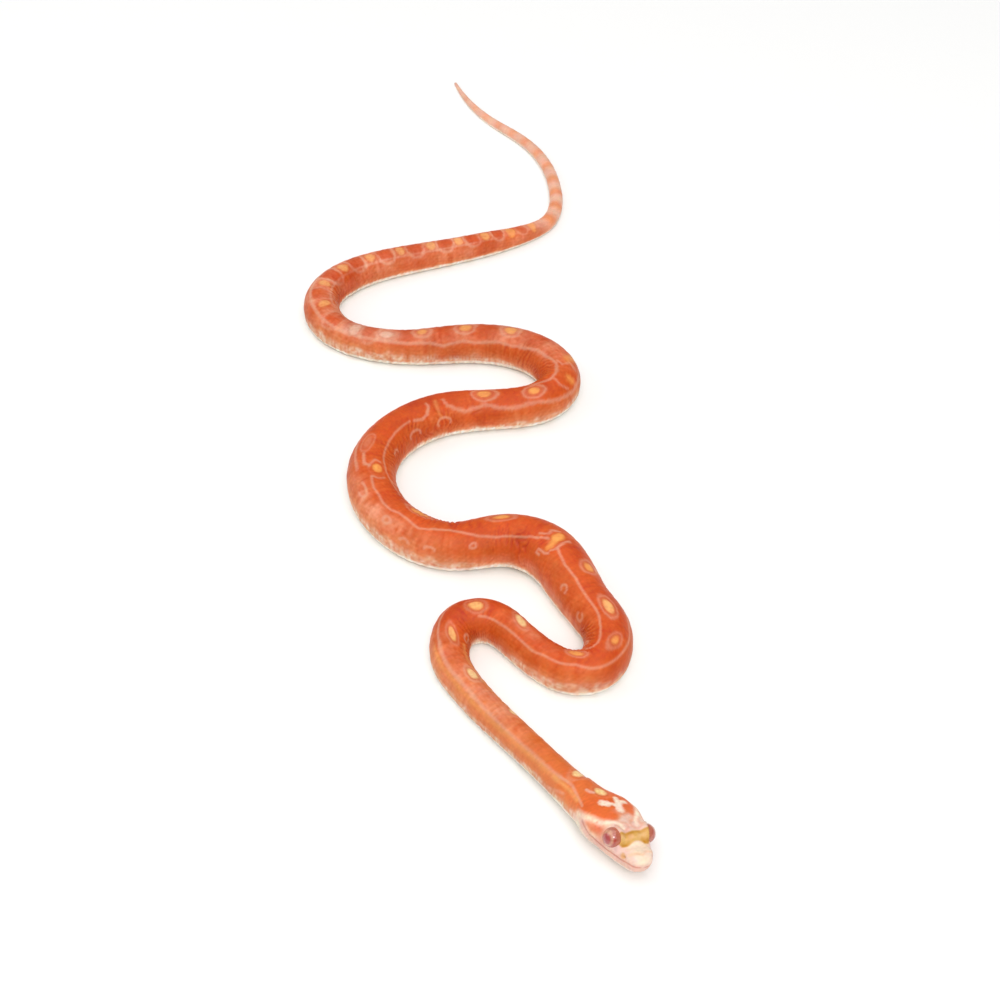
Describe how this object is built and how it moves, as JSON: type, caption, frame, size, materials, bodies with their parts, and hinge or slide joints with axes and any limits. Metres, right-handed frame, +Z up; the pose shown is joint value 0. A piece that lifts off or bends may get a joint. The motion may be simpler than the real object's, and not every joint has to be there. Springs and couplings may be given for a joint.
{
  "type": "corn snake",
  "caption": "Life-size still corn snake of the scaleless amelanistic kind, lying in open bends, head a little raised.",
  "frame": {"origin": "on the floor, under the middle of the whole animal's box", "axes": "+Z up, the snake lies along Y with its head towards -Y and its tail towards +Y"},
  "size_m": [0.0964, 0.3524, 0.0142],
  "materials": {
    "skin": "smooth supple orange skin with a soft sheen",
    "throat": "smooth pale pink skin",
    "eye": "wet clear rose-red eye"
  },
  "bodies": {
    "root": {"head": "skin", "lower_jaw": "throat", "eye_left": "eye", "eye_right": "eye", "neck": "skin", "trunk_1": "skin", "trunk_2": "skin", "trunk_3": "skin", "trunk_4": "skin", "trunk_5": "skin", "trunk_6": "skin", "tail_base": "skin", "tail_tip": "skin"}
  },
  "joints": []
}
